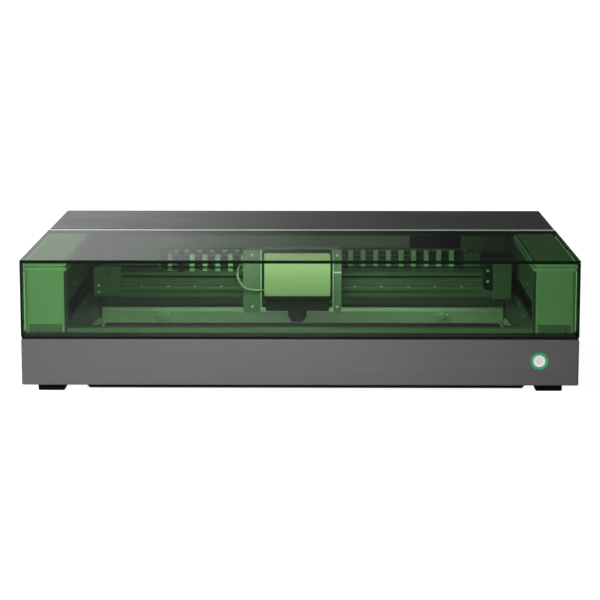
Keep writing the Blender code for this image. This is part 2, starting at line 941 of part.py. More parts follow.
def chain_tray():
    low, skin = BEAM_Z[1] + GAP, 2.0
    outline = [
        (292.2, low),
        (366, low),
        (366, 130),
        (364.6, 130),
        (364.6, low + skin),
        (292.2, low + skin),
    ]
    tray = extruded("chain_tray", "X", (-311, 273), [outline], BLACK_ANODISED)
    anchor = (CHAIN_FIXED_END + GAP, 272)
    join(tray, box("chain_anchor", anchor, (343, 363), (low + 1, 149)))


def notched(start, stop, depth, step):
    """One long side of the chain's outline, with a notch where two links meet."""
    way = 1 if stop > start else -1
    width, points = 3.0, [(start, depth)]
    count = int(abs(stop - start) / CHAIN_PITCH)
    for i in range(1, count + 1):
        a = start + way * (i * CHAIN_PITCH - width)
        b = start + way * i * CHAIN_PITCH
        points += [(a, depth), (a, depth + step), (b, depth + step), (b, depth)]
    if abs(points[-1][0] - stop) > 0.5:
        points.append((stop, depth))
    return points


def drag_chain():
    half = CHAIN_WIDE / 2
    middle = (CHAIN_FRONT + CHAIN_REAR) / 2
    bend = (CHAIN_REAR - CHAIN_FRONT) / 2
    steps = 16
    turn = [math.pi * i / steps for i in range(1, steps)]
    outer = [
        (CHAIN_BEND_X - (bend + half) * math.sin(t), middle - (bend + half) * math.cos(t))
        for t in turn
    ]
    inner = [
        (CHAIN_BEND_X - (bend - half) * math.sin(t), middle + (bend - half) * math.cos(t))
        for t in turn
    ]
    outline = (
        notched(CHAIN_MOVING_END, CHAIN_BEND_X, CHAIN_FRONT - half, 1.5)
        + outer
        + notched(CHAIN_BEND_X, CHAIN_FIXED_END, CHAIN_REAR + half, -1.5)
        + [(CHAIN_FIXED_END, CHAIN_REAR - half), (CHAIN_BEND_X, CHAIN_REAR - half)]
        + inner
        + [(CHAIN_BEND_X, CHAIN_FRONT + half), (CHAIN_MOVING_END, CHAIN_FRONT + half)]
    )
    extruded("drag_chain", "Z", CHAIN_Z, [outline], BLACK_PLASTIC)


# ------------------------------------------------------------------ laser head


def head_frame():
    """The back plate with its two cheeks, the rail carriage and what is bolted to them."""
    frame = box(
        "head_frame", (HEAD_LEFT + 0.5, HEAD_RIGHT - 0.5), (277, 281.5), (84, 164.5), LINER_GREY
    )
    skin, front, back = 2.5, 246.0, 278.0
    left = [
        (HEAD_LEFT, front),
        (-59, front),
        (-59, front + skin),
        (HEAD_LEFT + skin, front + skin),
        (HEAD_LEFT + skin, back),
        (HEAD_LEFT, back),
    ]
    right = [
        (46.5, front),
        (HEAD_RIGHT, front),
        (HEAD_RIGHT, back),
        (HEAD_RIGHT - skin, back),
        (HEAD_RIGHT - skin, front + skin),
        (46.5, front + skin),
    ]
    join(
        frame,
        extruded("cheek_left", "Z", (71, 165), [left]),
        extruded("cheek_right", "Z", (71, 165), [right]),
        box("shelf_left", (-85, -60), (247, 272), (71.5, 75)),
        box("shelf_right", (47, 58), (247, 272), (71.5, 75)),
        rod("lift_rod", "Z", (*ROD_AT, 117), 2.5, 86, segments=20),
        extruded("rail_carriage", "X", (-50, 34), [carriage_outline()]),
        box("belt_clamp", (-20, 4), (281, 291.2), (119.9, 132.1)),
        box("chain_clip", (CHAIN_MOVING_END + GAP, -60), (281, 312), (135.5, 151)),
    )


def carriage_outline():
    """A block that wraps the X rail, as (depth, height)."""
    front, groove, back = 281.0, 285.7, 291.4
    return [
        (front, 91),
        (back, 91),
        (back, 97.7),
        (groove, 97.7),
        (groove, 110.3),
        (back, 110.3),
        (back, 117),
        (front, 117),
    ]


def lift_drive():
    x, depth = SCREW_AT
    motor = box("lift_motor", (x - 10, x + 10), (depth - 10, depth + 10), (140, 163), BLACK_ANODISED)
    bevel(motor, 1.5, 1)
    rod("lead_screw", "Z", (x, depth, 107.5), 3.0, 64, STEEL, segments=20)


def laser_module():
    x, depth, z = MODULE_X, MODULE_DEPTH, MODULE_Z
    case = box("module_case", x, depth, z, WHITE_PLASTIC)
    bevel(case, 2.0)
    skin = 2.7
    inside = box(
        "cut_module",
        (x[0] + skin, x[1] - skin),
        (depth[0] + skin, depth[1] + 5),
        (z[0] - 5, z[1] - skin),
    )
    cut(case, inside, rod("cut_vent", "Z", (LENS_X, LENS_DEPTH, z[1]), 14.5, 20))
    guide_x, guide_depth = SCREW_AT
    rod_x, rod_depth = ROD_AT
    nut = (guide_depth - 8, guide_depth + 8)
    join(
        case,
        box("lift_nut", (guide_x - 7, x[0] + 1), nut, (100, 112)),
        box("lift_slide", (x[1] - 1, 56.5), (rod_depth - 6, rod_depth + 6), (120, 132)),
    )
    cut(
        case,
        rod("cut_nut", "Z", (guide_x, guide_depth, 106), 3.3, 20, segments=20),
        rod("cut_slide", "Z", (rod_x, rod_depth, 126), 2.8, 20, segments=20),
    )
    front = box(
        "module_front",
        (x[0] + 1, x[1] - 1),
        (depth[0] - 3.3, depth[0] - GAP),
        (z[0] + 1, z[1] - 1),
        WHITE_PLASTIC,
    )
    bevel(front, 1.0)


def laser_core():
    """The dark lower block, the finned heat sink on it and the nozzle under it."""
    block = box("laser_core", (-52.7, 41), (241, 274), (74, 91.7), DARK_PAINT)
    bevel(block, 1.5)
    nozzle = [(14, 75), (14, 64), (9, 56), (4, 56), (4, 75)]
    place = (LENS_X, LENS_DEPTH, 0)
    join(
        block,
        turned("nozzle", "Z", place, nozzle, None, 32, closed=True),
        box("fin_root", (-50, 38), (268, 273.2), (90, 148)),
    )
    fins, first, pitch, thick = 10, -48.0, 9.2, 2.5
    for i in range(fins):
        left = first + i * pitch
        join(block, box(f"fin_{i}", (left, left + thick), (246, 269), (89.5, 147)))


def module_fan():
    x, depth, z = LENS_X, LENS_DEPTH, 155.0
    rotor = rod("module_fan", "Z", (x, depth, z), 5.5, 7, BLACK_PLASTIC, segments=20)
    blades = 5
    for i in range(blades):
        blade = box(
            f"module_blade_{i}",
            (x - 13.2, x - 4),
            (depth - 3.5, depth + 3.5),
            (z - 0.6, z + 0.6),
            pivot=(x, depth, z),
        )
        blade.matrix_world = (
            Matrix.Translation(blade.location)
            @ Matrix.Rotation(2 * math.pi * i / blades, 4, "Z")
            @ Matrix.Rotation(math.radians(28), 4, "X")
        )
        join(rotor, blade)


def air_hose():
    """A soft tube from the chain's end to the left side of the module."""
    route = [
        (-90, 291.5, 138),
        (-92, 277, 137),
        (-94, 262, 132),
        (-94, 249, 124),
        (-90, 242, 116),
        (-83, 240.5, 109),
        (-74, 241, 106),
        (-66, 242.5, 105.2),
        (-56.4, 244.5, 105),
    ]
    curve = bpy.data.curves.new("air_hose", "CURVE")
    curve.dimensions = "3D"
    curve.bevel_depth = 0.0016
    curve.bevel_resolution = 2
    curve.use_fill_caps = True
    spline = curve.splines.new("POLY")
    spline.points.add(len(route) - 1)
    for corner, place in zip(spline.points, route):
        corner.co = (*point(*place), 1)
    hose = bpy.data.objects.new("air_hose", curve)
    PARTS.objects.link(hose)
    paint(hose, BLACK_PLASTIC)


def main():
    base_shell()
    bottom_tray()
    feet()
    lid_seal()
    front_sill()
    work_bed()
    chamber_wall()
    rear_baffle()
    thumb_screws()
    rear_cover()
    exhaust_collar()
    exhaust_fan()
    power_inlet()
    power_switch()
    electronics()
    led_strip()
    power_button()
    panels = lid_panels()
    trim = lid_trim()
    hang("lid_axis", (0, HINGE_DEPTH, HINGE_Z), trim, *panels)
    for side in (-1, 1):
        side_housing(side)
        sensor_plate(side)
        rail_y(side)
        carriage(side)
        belt_y(side)
        idler_y(side)
    shaft_y()
    motor_y()
    gantry_beam()
    rail_x()
    belt_x()
    motor_x()
    chain_tray()
    drag_chain()
    head_frame()
    lift_drive()
    laser_module()
    laser_core()
    module_fan()
    air_hose()


main()
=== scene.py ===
"""Looks of an enclosed desktop laser cutter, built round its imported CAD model.

Lengths in the shape code are millimetres. X runs to the right, "depth" is the
distance behind the front face of the housing, and Z is the height above the
desk. The helper `at` turns them into metres in the frame that the CAD shares.
"""

import math

import bmesh
import bpy
from mathutils import Matrix, Vector


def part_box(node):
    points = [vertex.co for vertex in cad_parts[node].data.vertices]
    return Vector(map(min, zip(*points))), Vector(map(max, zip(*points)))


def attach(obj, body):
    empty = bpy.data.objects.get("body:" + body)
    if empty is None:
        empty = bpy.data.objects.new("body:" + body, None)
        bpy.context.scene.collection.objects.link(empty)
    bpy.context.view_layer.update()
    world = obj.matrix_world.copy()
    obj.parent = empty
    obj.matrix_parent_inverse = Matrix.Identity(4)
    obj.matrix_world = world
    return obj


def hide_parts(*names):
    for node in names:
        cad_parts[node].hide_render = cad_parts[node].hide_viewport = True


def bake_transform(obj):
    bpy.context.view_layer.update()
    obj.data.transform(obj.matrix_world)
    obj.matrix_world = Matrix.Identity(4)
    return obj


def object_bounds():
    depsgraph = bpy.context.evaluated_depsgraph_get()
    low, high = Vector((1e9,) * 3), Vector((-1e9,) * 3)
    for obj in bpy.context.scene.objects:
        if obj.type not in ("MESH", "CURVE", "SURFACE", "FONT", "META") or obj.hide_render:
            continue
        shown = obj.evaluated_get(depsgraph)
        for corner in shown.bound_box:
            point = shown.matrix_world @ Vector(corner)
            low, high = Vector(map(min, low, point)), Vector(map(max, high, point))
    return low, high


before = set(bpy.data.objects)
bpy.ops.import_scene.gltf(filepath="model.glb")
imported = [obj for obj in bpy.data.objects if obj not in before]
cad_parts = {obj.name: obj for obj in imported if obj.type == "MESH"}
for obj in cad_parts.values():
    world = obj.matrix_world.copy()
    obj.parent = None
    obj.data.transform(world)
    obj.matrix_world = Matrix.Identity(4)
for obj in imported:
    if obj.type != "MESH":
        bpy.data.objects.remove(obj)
cad_low, cad_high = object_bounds()

FRONT = cad_low.y
SHARP_ANGLE = math.radians(32)
CLOUD_SCALE = 9.0
MERGE_DISTANCE = 0.00001
# Sides of the larger turned shapes, and of the small ones
ROUND, SMALL_ROUND = 96, 48

TURNS = {
    "X": Matrix.Rotation(math.pi / 2, 4, "Z") @ Matrix.Rotation(math.pi / 2, 4, "X"),
    "Y": Matrix.Rotation(math.pi / 2, 4, "X"),
    "Z": Matrix.Identity(4),
}


def at(x, depth, z):
    return Vector((x / 1000, FRONT + depth / 1000, z / 1000))


def limits(node):
    """A CAD node's box, as (low x, high x), (low depth, high depth), (low z, high z)."""
    low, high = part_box(node)
    return (
        (low.x * 1000, high.x * 1000),
        ((low.y - FRONT) * 1000, (high.y - FRONT) * 1000),
        (low.z * 1000, high.z * 1000),
    )


def centre(node):
    return tuple(sum(pair) / 2 for pair in limits(node))


# ------------------------------------------------------------------ materials


class Nodes:
    """A material's node tree, with short ways to add to it."""

    def __init__(self, name):
        self.material = bpy.data.materials.new(name)
        self.material.use_nodes = True
        self.tree = self.material.node_tree
        self.shader = self.tree.nodes["Principled BSDF"]
        self.output = self.tree.nodes["Material Output"]
        self.place = self.add("ShaderNodeTexCoord").outputs["Object"]

    def add(self, kind, **values):
        node = self.tree.nodes.new(kind)
        for key, value in values.items():
            setattr(node, key, value)
        return node

    def join(self, source, target):
        self.tree.links.new(source, target)

    def stretched(self, stretch):
        node = self.add("ShaderNodeMapping")
        node.inputs["Scale"].default_value = stretch
        self.join(self.place, node.inputs["Vector"])
        return node.outputs["Vector"]

    def noise(self, scale, detail=3.0, stretch=(1, 1, 1)):
        node = self.add("ShaderNodeTexNoise")
        node.inputs["Scale"].default_value = scale
        node.inputs["Detail"].default_value = detail
        self.join(self.stretched(stretch), node.inputs["Vector"])
        return node.outputs["Fac"]

    def spread(self, source, low, high, start=0.3, end=0.7):
        """Maps a noise's usual range to low and high."""
        node = self.add("ShaderNodeMapRange")
        for name, value in (
            ("From Min", start),
            ("From Max", end),
            ("To Min", low),
            ("To Max", high),
        ):
            node.inputs[name].default_value = value
        self.join(source, node.inputs["Value"])
        return node.outputs["Result"]

    def blend(self, factor, first, second, kind="MIX"):
        node = self.add("ShaderNodeMix", data_type="RGBA", blend_type=kind)
        for name, value in (("Factor", factor), ("A", first), ("B", second)):
            sockets = [s for s in node.inputs if s.name == name and s.enabled]
            if isinstance(value, bpy.types.NodeSocket):
                self.join(value, sockets[0])
            elif name == "Factor":
                sockets[0].default_value = value
            else:
                sockets[0].default_value = (*value, 1.0)
        return next(s for s in node.outputs if s.name == "Result" and s.enabled)

    def bump(self, height, distance, strength=1.0, under=None):
        node = self.add("ShaderNodeBump")
        node.inputs["Distance"].default_value = distance
        node.inputs["Strength"].default_value = strength
        self.join(height, node.inputs["Height"])
        if under is not None:
            self.join(under, node.inputs["Normal"])
        return node.outputs["Normal"]


def shade(colour, by):
    return tuple(min(1.0, part * by) for part in colour)


def finish(
    name,
    colour,
    rough,
    metallic=0.0,
    grain=900.0,
    depth=0.00004,
    wander=0.12,
    stretch=(1, 1, 1),
    wear=0.0,
    glow=None,
    gloss=0.5,
    split=None,
):
    """A surface with cloudy colour, fine grain and uneven roughness. wear brightens its edges.

    grain is the fine noise's scale, depth its bump in metres, and wander how far the
    cloud shifts the colour. gloss is the level of the mirror part. split is (axis,
    distance, inner): nearer to the middle than distance in metres along that axis, the
    colour is inner.
    """
    n = Nodes(name)
    cloud = n.noise(CLOUD_SCALE, 4.0)
    fine = n.noise(grain, 3.0, stretch)
    base = n.blend(n.spread(cloud, 0, 1), shade(colour, 1 - wander), shade(colour, 1 + wander))
    speckled = n.blend(n.spread(fine, 0, 0.22), base, shade(colour, 0.6))
    if wear:
        edge = n.add("ShaderNodeNewGeometry").outputs["Pointiness"]
        worn = n.spread(edge, 0, wear, 0.52, 0.62)
        speckled = n.blend(worn, speckled, shade(colour, 2.2))
    if split:
        axis, distance, inner = split
        parts = n.add("ShaderNodeSeparateXYZ")
        n.join(n.place, parts.inputs[0])
        away = n.add("ShaderNodeMath", operation="ABSOLUTE")
        n.join(parts.outputs[axis], away.inputs[0])
        outer = n.spread(away.outputs[0], 0, 1, distance, distance + 0.0001)
        speckled = n.blend(outer, inner, speckled)
    n.join(speckled, n.shader.inputs["Base Color"])
    n.join(n.spread(cloud, rough * 0.88, min(1.0, rough * 1.14)), n.shader.inputs["Roughness"])
    n.join(n.bump(fine, depth), n.shader.inputs["Normal"])
    n.shader.inputs["Metallic"].default_value = metallic
    n.shader.inputs["Specular IOR Level"].default_value = gloss
    if glow:
        tint, strength = glow
        n.shader.inputs["Emission Color"].default_value = (*tint, 1.0)
        n.shader.inputs["Emission Strength"].default_value = strength
    return n.material


def acrylic(name, tint):
    """A clear tinted sheet: each surface passes tint and mirrors as its angle says."""
    n = Nodes(name)
    n.tree.nodes.remove(n.shader)
    clear = n.add("ShaderNodeBsdfTransparent")
    clear.inputs["Color"].default_value = (*tint, 1.0)
    mirror = n.add("ShaderNodeBsdfAnisotropic")
    mirror.inputs["Roughness"].default_value = 0.04
    haze = n.noise(14.0, 3.0)
    n.join(n.bump(haze, 0.00002, 0.3), mirror.inputs["Normal"])
    angle = n.add("ShaderNodeFresnel")
    angle.inputs["IOR"].default_value = 1.5
    outside = n.add("ShaderNodeMath", operation="SUBTRACT")
    outside.inputs[0].default_value = 1.0
    n.join(n.add("ShaderNodeNewGeometry").outputs["Backfacing"], outside.inputs[1])
    share = n.add("ShaderNodeMath", operation="MULTIPLY")
    n.join(angle.outputs["Fac"], share.inputs[0])
    n.join(outside.outputs[0], share.inputs[1])
    mix = n.add("ShaderNodeMixShader")
    n.join(share.outputs[0], mix.inputs["Fac"])
    n.join(clear.outputs[0], mix.inputs[1])
    n.join(mirror.outputs[0], mix.inputs[2])
    n.join(mix.outputs[0], n.output.inputs["Surface"])
    return n.material


def circuit_board():
    """Solder mask over a faint pattern of tracks."""
    n = Nodes("circuit_board")
    cells = n.add("ShaderNodeTexVoronoi", feature="DISTANCE_TO_EDGE", distance="MANHATTAN")
    cells.inputs["Scale"].default_value = 260.0
    n.join(n.place, cells.inputs["Vector"])
    track = n.spread(cells.outputs["Distance"], 1, 0, 0.05, 0.09)
    n.join(n.blend(track, (0.01, 0.09, 0.03), (0.03, 0.2, 0.07)), n.shader.inputs["Base Color"])
    n.join(n.bump(track, 0.00003), n.shader.inputs["Normal"])
    n.shader.inputs["Roughness"].default_value = 0.35
    return n.material


BRUSHED_X = (0.04, 1, 1)
# In metres: the housings are dark nearer the middle than this, and below this height the trim is painted
# near black, as shade beside its lit top face
HOOD_INNER_X = 0.3229
TRIM_FACE_Z = 0.1814

PAINT = finish(
    "grey_powder_coat",
    (0.075, 0.075, 0.0755),
    0.42,
    grain=1500,
    depth=0.00003,
    wander=0.05,
    wear=0.25,
)
COVER_PAINT = finish(
    "cover_powder_coat",
    (0.05, 0.05, 0.051),
    0.3,
    grain=1500,
    depth=0.00003,
    wander=0.05,
    wear=0.25,
)
DARK_PAINT = finish("dark_paint", (0.02, 0.02, 0.021), 0.5, grain=1200)
LINER = finish("liner_paint", (0.13, 0.135, 0.13), 0.42, grain=1200, wander=0.06)
HOOD = finish(
    "hood_plastic",
    (0.3, 0.3, 0.29),
    0.42,
    grain=1800,
    depth=0.00002,
    wander=0.04,
    split=("X", HOOD_INNER_X, (0.04, 0.045, 0.04)),
)
MOTOR_COVER = finish("motor_cover_plastic", (0.12, 0.13, 0.12), 0.4, grain=1800, depth=0.00002, wander=0.05)
HOOD_EDGE = finish("hood_trim_plastic", (0.36, 0.36, 0.35), 0.35, grain=1800, depth=0.00002, wander=0.04)
ACRYLIC = acrylic("green_acrylic", (0.66, 0.86, 0.64))
# Painted shade: near black on the sheets' cut edges, standing in for how tinted acrylic looks dark edge-on
ACRYLIC_EDGE_SHADE = finish("acrylic_edge_painted_shade", (0.002, 0.008, 0.003), 0.6, grain=500, depth=0.00001, gloss=0.12)
BEAM = finish("beam_paint", (0.12, 0.13, 0.12), 0.5, grain=1300, depth=0.00002, wander=0.06)
HEAD_PAINT = finish("head_paint", (0.155, 0.165, 0.155), 0.45, grain=1200, depth=0.00002, wander=0.05)
HOOD_LINER = finish("hood_liner", (0.05, 0.056, 0.054), 0.45, grain=1200, wander=0.06)
# The trim's top face is pale; its faces below TRIM_FACE_Z carry painted shade in near black
TRIM = finish(
    "pale_trim_with_painted_shade",
    (0.5, 0.6, 0.5),
    0.32,
    grain=1500,
    depth=0.00002,
    wander=0.06,
    split=("Z", TRIM_FACE_Z, (0.02, 0.025, 0.02)),
)
RUBBER = finish("black_rubber", (0.004, 0.007, 0.004), 0.8, grain=1400, depth=0.00006, gloss=0.1)
BORDER = finish("lid_border_ink_and_corner_shade", (0.006, 0.01, 0.006), 0.6, grain=1400, depth=0.00001, gloss=0.1)
PLASTIC = finish("black_plastic", (0.018, 0.018, 0.019), 0.46, grain=1300, depth=0.00004)
CHAIN_BAR = finish("chain_bar_nylon", (0.5, 0.52, 0.5), 0.4, grain=1300, depth=0.00003)
CHAIN = finish("chain_nylon", (0.14, 0.15, 0.14), 0.42, grain=1300, depth=0.00003)
PANEL = finish("module_panel", (0.4, 0.37, 0.29), 0.4, grain=1600, depth=0.00002, wander=0.02)
WHITE = finish("white_plastic", (0.78, 0.78, 0.76), 0.34, grain=1600, depth=0.00002, wander=0.03)
MARK = finish("grey_mark", (0.42, 0.44, 0.42), 0.4, grain=1600, depth=0.00001, wander=0.03)
STEEL = finish("turned_steel", (0.55, 0.56, 0.57), 0.26, metallic=1.0, grain=1400, depth=0.00002, wear=0.3)
ALUMINIUM = finish(
    "brushed_aluminium",
    (0.6, 0.61, 0.62),
    0.34,
    metallic=1.0,
    grain=900,
    stretch=BRUSHED_X,
    depth=0.00002,
)
ANODISED = finish(
    "black_anodised",
    (0.03, 0.032, 0.034),
    0.34,
    metallic=0.6,
    grain=1300,
    depth=0.00002,
    wear=0.3,
)
BRIGHT_SHEET = finish(
    "bright_steel_sheet",
    (0.66, 0.69, 0.66),
    0.3,
    metallic=0.1,
    grain=700,
    stretch=BRUSHED_X,
    depth=0.00002,
)
ZINC = finish("zinc_plate", (0.78, 0.8, 0.78), 0.32, metallic=0.15, grain=1400, depth=0.00002, wear=0.1)
BOARD = circuit_board()
RING = finish("lit_green_ring", (0.02, 0.2, 0.07), 0.3, grain=900, glow=((0.03, 0.4, 0.14), 0.35))
LIGHT_BAR = finish("frosted_light_bar", (0.9, 0.92, 0.92), 0.4, grain=900, glow=((0.9, 1.0, 0.92), 1.2))
HOSE = finish("air_hose_rubber", (0.3, 0.33, 0.3), 0.4, grain=900)
CABLE = finish("cable_jacket", (0.05, 0.055, 0.05), 0.5, grain=700)


# -------------------------------------------------------------------- shapes


def block(bm, x, depth, z, rounding=0.0, steps=2, material=0):
    """A block with rounded edges."""
    low, high = at(x[0], depth[0], z[0]), at(x[1], depth[1], z[1])
    verts = bmesh.ops.create_cube(bm, size=1)["verts"]
    bmesh.ops.scale(bm, vec=high - low, verts=verts)
    bmesh.ops.translate(bm, vec=(low + high) / 2, verts=verts)
    for face in {f for v in verts for f in v.link_faces}:
        face.material_index = material
    if rounding:
        edges = {e for v in verts for e in v.link_edges}
        bmesh.ops.bevel(
            bm,
            geom=list(edges),
            offset=rounding / 1000,
            segments=steps,
            profile=0.5,
            affect="EDGES",
            clamp_overlap=True,
        )


def lathe(bm, axis, middle, profile, segments):
    """A profile of (radius, place along the axis) turned about the axis through middle."""
    move = Matrix.Translation(at(*middle)) @ TURNS[axis]
    flip = -1 if axis == "Y" else 1
    rings = []
    for radius, along in profile:
        if radius == 0:
            rings.append([bm.verts.new(move @ Vector((0, 0, flip * along / 1000)))])
            continue
        ring = []
        for i in range(segments):
            t = 2 * math.pi * i / segments
            spot = Vector((radius * math.cos(t), radius * math.sin(t), flip * along)) / 1000
            ring.append(bm.verts.new(move @ spot))
        rings.append(ring)
    for first, second in zip(rings, rings[1:]):
        for i in range(segments):
            j = (i + 1) % segments
            corners = [ring[k % len(ring)] for ring, k in ((first, i), (first, j), (second, j), (second, i))]
            distinct = list(dict.fromkeys(corners))
            if len(distinct) > 2:
                bm.faces.new(distinct)


def prism(bm, axis, span, outline, material=0):
    """A flat outline pushed along an axis: (depth, z) for X, (x, z) for Y, (x, depth) for Z."""

    def spot(pair, along):
        a, b = pair
        return at(*{"X": (along, a, b), "Y": (a, along, b), "Z": (a, b, along)}[axis])

    near = [bm.verts.new(spot(pair, span[0])) for pair in outline]
    far = [bm.verts.new(spot(pair, span[1])) for pair in outline]
    faces = [bm.faces.new(near), bm.faces.new(list(reversed(far)))]
    for i in range(len(outline)):
        j = (i + 1) % len(outline)
        faces.append(bm.faces.new((near[j], near[i], far[i], far[j])))
    for face in faces:
        face.material_index = material


def rounded_outline(a, b, radius):
    """A rectangle with round corners, as a list of points."""
    steps = 6
    points = []
    for k, (u, v) in enumerate(((1, 1), (-1, 1), (-1, -1), (1, -1))):
        middle = (
            (a[1] - radius) if u > 0 else (a[0] + radius),
            (b[1] - radius) if v > 0 else (b[0] + radius),
        )
        for i in range(steps + 1):
            t = math.pi / 2 * (k + i / steps)
            points.append((middle[0] + radius * math.cos(t), middle[1] + radius * math.sin(t)))
    return points


def screw(bm, axis, spot, radius, proud, way=1):
    """A pan head with a hexagon socket, standing on a face that looks along axis, way 1 or -1."""
    wide, dish = radius * 0.52, proud * 0.55
    profile = [
        (radius, -0.4),
        (radius, proud * 0.45),
        (radius * 0.86, proud * 0.85),
        (radius * 0.6, proud),
        (wide, proud),
        (wide * 0.96, proud - dish),
        (0, proud - dish),
    ]
    if way < 0:
        profile = [(r, -h) for r, h in profile]
    lathe(bm, axis, spot, profile, 24)


def tube(name, route, radius, body, material):
    """A round hose through points given in millimetres."""
    curve = bpy.data.curves.new(name, "CURVE")
    curve.dimensions = "3D"
    curve.bevel_depth = radius / 1000
    curve.bevel_resolution = 4
    curve.resolution_u = 10
    curve.use_fill_caps = True
    spline = curve.splines.new("BEZIER")
    spline.bezier_points.add(len(route) - 1)
    for knot, place in zip(spline.bezier_points, route):
        knot.co = at(*place)
        knot.handle_left_type = knot.handle_right_type = "AUTO"
    guide = bpy.data.objects.new(name + "_guide", curve)
    bpy.context.scene.collection.objects.link(guide)
    bpy.context.view_layer.update()
    graph = bpy.context.evaluated_depsgraph_get()
    mesh = bpy.data.meshes.new_from_object(guide.evaluated_get(graph))
    bpy.data.objects.remove(guide)
    return place_mesh(name, mesh, body, [material])


def place_mesh(name, mesh, body, materials, replaces=(), ride=True):
    """Makes the mesh a piece of the body. With ride off it gets no body and no normals modifier."""
    mesh.name = name
    for material in materials:
        mesh.materials.append(material)
    mesh.shade_smooth()
    mesh.set_sharp_from_angle(angle=SHARP_ANGLE)
    obj = bpy.data.objects.new(name, mesh)
    bpy.context.scene.collection.objects.link(obj)
    if ride:
        obj.modifiers.new("flat_faces", "WEIGHTED_NORMAL").keep_sharp = True
        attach(obj, body)
    if replaces:
        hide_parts(*replaces)
    return obj


def piece(name, bm, body, materials, replaces=(), ride=True):
    bmesh.ops.recalc_face_normals(bm, faces=bm.faces)
    mesh = bpy.data.meshes.new(name)
    bm.to_mesh(mesh)
    bm.free()
    return place_mesh(name, mesh, body, materials, replaces, ride)


def side_name(side):
    return "left" if side < 0 else "right"


def mirrored(pair, side):
    return tuple(sorted(side * value for value in pair))


# ----------------------------------------------------- camera, light and floor


CAMERA_PLACE = (26.36, -2868.94, 604.29)
CAMERA_YAW, CAMERA_PITCH = -0.0091, 0.1636
LENS = 127.8

# Each light's name, place and aim in millimetres, size in metres, and watts
LIGHTS = (
    ("key", (-110, -620, 300), (-110, 0, 80), (0.4, 0.3), 6),
    ("fill", (-1500, -1000, 500), (-382, 100, 120), (1.0, 0.8), 8),
    ("top", (-620, 720, 640), (-250, 450, 185), (0.5, 0.5), 6),
    ("rear", (-700, 2300, 1100), (0, 560, 80), (1.8, 1.0), 16),
    ("lamp", (-10, 186, 176), (-10, 250, 120), (0.3, 0.02), 0.24),
    ("strip", (0, 405, 174), (0, 468, 38), (0.5, 0.02), 0.24),
)


def studio():
    scene = bpy.context.scene
    scene.view_settings.view_transform = "Standard"
    camera = bpy.data.objects.new("camera", bpy.data.cameras.new("camera"))
    scene.collection.objects.link(camera)
    camera.data.sensor_width = 36.0
    camera.data.lens = LENS
    camera.data.clip_end = 100.0
    camera.location = at(*CAMERA_PLACE)
    camera.rotation_euler = (math.pi / 2 - CAMERA_PITCH, 0, -CAMERA_YAW)
    scene.camera = camera

    studio_world(scene)
    for light in LIGHTS:
        softbox(*light)
    floor()


# Brightness of what surrounds the object, from the left (0) to the right (1)
WORLD_STOPS = ((0.44, 0.6), (0.461, 0.47), (0.48, 0.23), (0.5, 0.08), (0.53, 0.02))


def shade_of_grey(level):
    return (level, level, level, 1)


def studio_world(scene):
    """White to the camera. What lights and reflects is bright on the left and dark on the right."""
    world = bpy.data.worlds.new("studio")
    scene.world = world
    world.use_nodes = True
    tree = world.node_tree
    around = tree.nodes["Background"]
    white = tree.nodes.new("ShaderNodeBackground")
    white.inputs["Color"].default_value = (1, 1, 1, 1)
    place = tree.nodes.new("ShaderNodeTexCoord")
    split = tree.nodes.new("ShaderNodeSeparateXYZ")
    ramp = tree.nodes.new("ShaderNodeValToRGB")
    stops = ramp.color_ramp.elements
    stops[0].position, stops[0].color = WORLD_STOPS[0][0], shade_of_grey(WORLD_STOPS[0][1])
    stops[1].position, stops[1].color = WORLD_STOPS[-1][0], shade_of_grey(WORLD_STOPS[-1][1])
    for place_along, level in WORLD_STOPS[1:-1]:
        stops.new(place_along).color = shade_of_grey(level)
    half = tree.nodes.new("ShaderNodeMapRange")
    half.inputs["From Min"].default_value = -1
    seen = tree.nodes.new("ShaderNodeLightPath")
    mix = tree.nodes.new("ShaderNodeMixShader")
    for source, target in (
        (place.outputs["Generated"], split.inputs["Vector"]),
        (split.outputs["X"], half.inputs["Value"]),
        (half.outputs["Result"], ramp.inputs["Fac"]),
        (ramp.outputs["Color"], around.inputs["Color"]),
        (seen.outputs["Is Camera Ray"], mix.inputs["Fac"]),
        (around.outputs[0], mix.inputs[1]),
        (white.outputs[0], mix.inputs[2]),
        (mix.outputs[0], tree.nodes["World Output"].inputs["Surface"]),
    ):
        tree.links.new(source, target)


def pale_floor():
    """White to the camera. What it throws on the object fades from the left to the right."""
    left, right, reach = 0.34, 0.05, 0.5
    n = Nodes("pale_floor")
    parts = n.add("ShaderNodeSeparateXYZ")
    n.join(n.place, parts.inputs[0])
    thrown = n.spread(parts.outputs["X"], left, right, -reach, reach)
    seen = n.add("ShaderNodeLightPath").outputs["Is Camera Ray"]
    level = n.add("ShaderNodeMix", data_type="FLOAT")
    n.join(seen, level.inputs[0])
    n.join(thrown, level.inputs[2])
    level.inputs[3].default_value = 0.97
    n.join(level.outputs[0], n.shader.inputs["Emission Strength"])
    n.shader.inputs["Emission Color"].default_value = (1, 1, 1, 1)
    n.shader.inputs["Base Color"].default_value = (0.25, 0.25, 0.25, 1)
    n.shader.inputs["Roughness"].default_value = 0.9
    n.shader.inputs["Specular IOR Level"].default_value = 0.0
    return n.material


def floor():
    bm = bmesh.new()
    bmesh.ops.create_grid(bm, x_segments=1, y_segments=1, size=30.0)
    mesh = bpy.data.meshes.new("floor")
    bm.to_mesh(mesh)
    bm.free()
    plane = bpy.data.objects.new("floor", mesh)
    bpy.context.scene.collection.objects.link(plane)
    plane.location.z = -0.0002
    mesh.materials.append(pale_floor())


